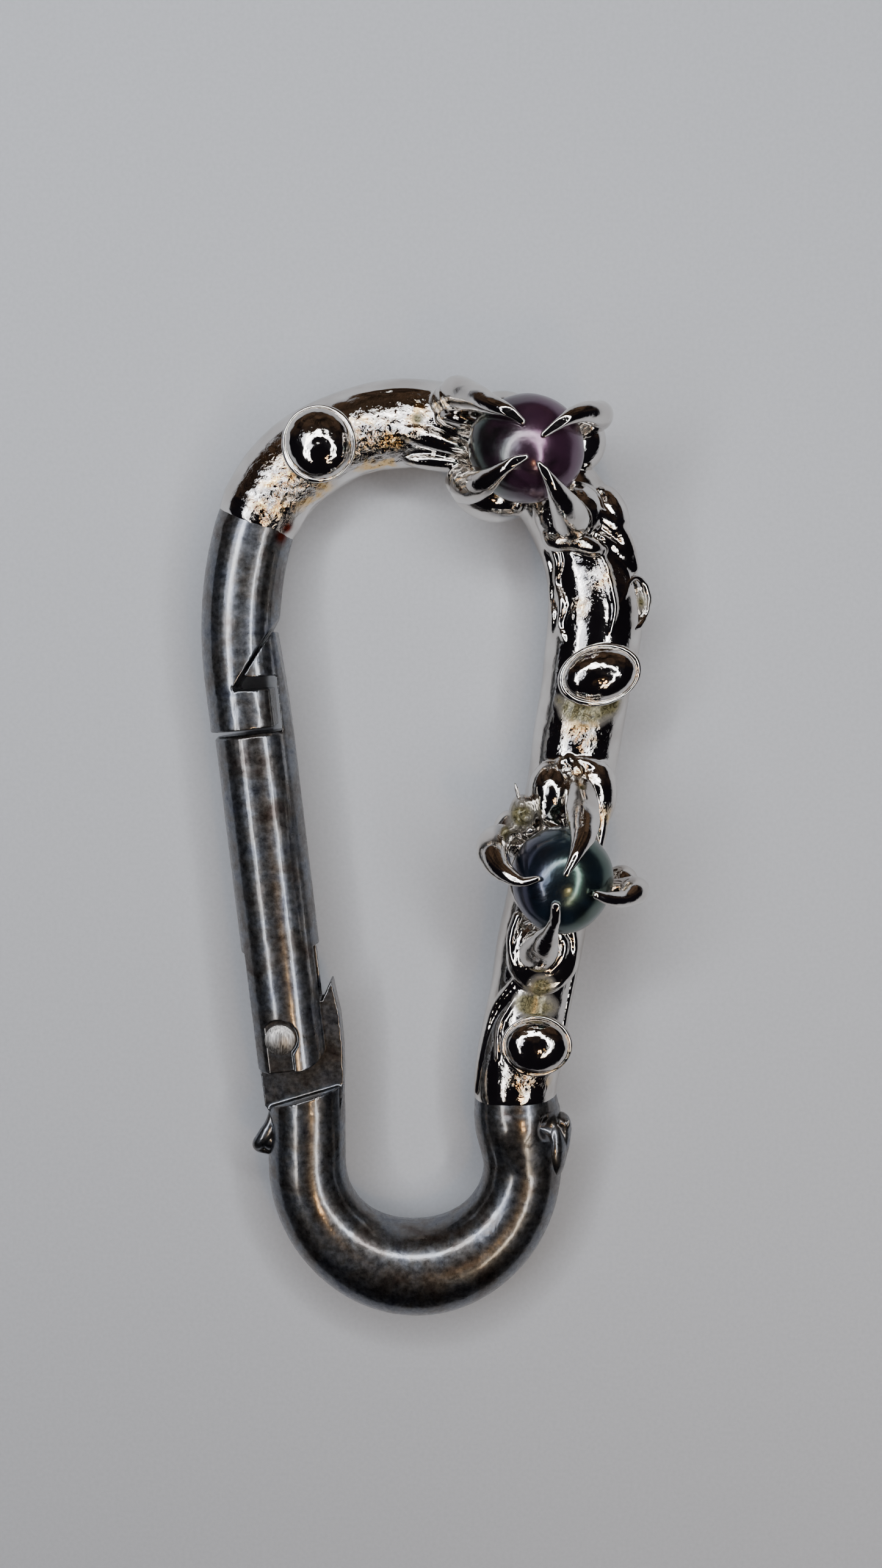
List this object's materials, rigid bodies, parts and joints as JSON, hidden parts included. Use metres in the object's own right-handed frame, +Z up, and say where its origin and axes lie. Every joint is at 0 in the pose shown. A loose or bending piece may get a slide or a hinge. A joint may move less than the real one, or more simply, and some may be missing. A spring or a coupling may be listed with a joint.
{
  "type": "carabiner keyring",
  "caption": "Pear-shaped spring-gate key hook of round steel bar, half covered in grown silver with claw-set baroque pearls and silver beads.",
  "frame": {"origin": "centre of the hook's outline, on the table it lies on", "axes": "+Z up from the table, +Y towards the wide bend, +X towards the pearl side"},
  "size_m": [0.038, 0.0802, 0.0162],
  "materials": {
    "dark_nickel_steel": "worn dark nickel plate, satin gloss",
    "rivet_steel": "bright turned steel",
    "spring_steel": "drawn spring wire",
    "polished_silver": "mirror-polished silver with a melted, wrinkled surface",
    "aubergine_pearl": "dark aubergine nacre",
    "peacock_pearl": "dark green peacock nacre"
  },
  "bodies": {
    "frame": {"frame_bar": "dark_nickel_steel", "silver_skin": "polished_silver", "gate_rivet": "rivet_steel", "pearl_upper": "aubergine_pearl", "cup_upper": "polished_silver", "claw_upper_1": "polished_silver", "claw_upper_2": "polished_silver", "claw_upper_3": "polished_silver", "claw_upper_4": "polished_silver", "pearl_lower": "peacock_pearl", "cup_lower": "polished_silver", "claw_lower_1": "polished_silver", "claw_lower_2": "polished_silver", "claw_lower_3": "polished_silver", "claw_lower_4": "polished_silver", "bead_top": "polished_silver", "rim_top": "polished_silver", "bead_corner": "polished_silver", "rim_corner": "polished_silver", "bead_spine": "polished_silver", "rim_spine": "polished_silver", "leaf_petal": "polished_silver"},
    "gate": {"gate": "dark_nickel_steel", "gate_spring": "spring_steel"},
    "plunger": {"gate_plunger": "rivet_steel"}
  },
  "joints": [
    {"name": "gate_hinge", "type": "hinge", "parent": "frame", "child": "gate", "pos_m": [-0.01206, -0.01528, 0.00412], "axis": [0, 0, -1], "range_deg": [0, 28], "stiffness_Nm_per_rad": 0.12, "springref_deg": -20.05},
    {"name": "plunger_slide", "type": "slide", "parent": "gate", "child": "plunger", "axis": [-0.1115, 0.9938, 0], "range_m": [0, 0.00136], "deforming": ["gate_spring"]}
  ],
  "couplings": [
    {"joint": "plunger_slide", "follows": "gate_hinge", "m_per_rad": 0.00275}
  ]
}
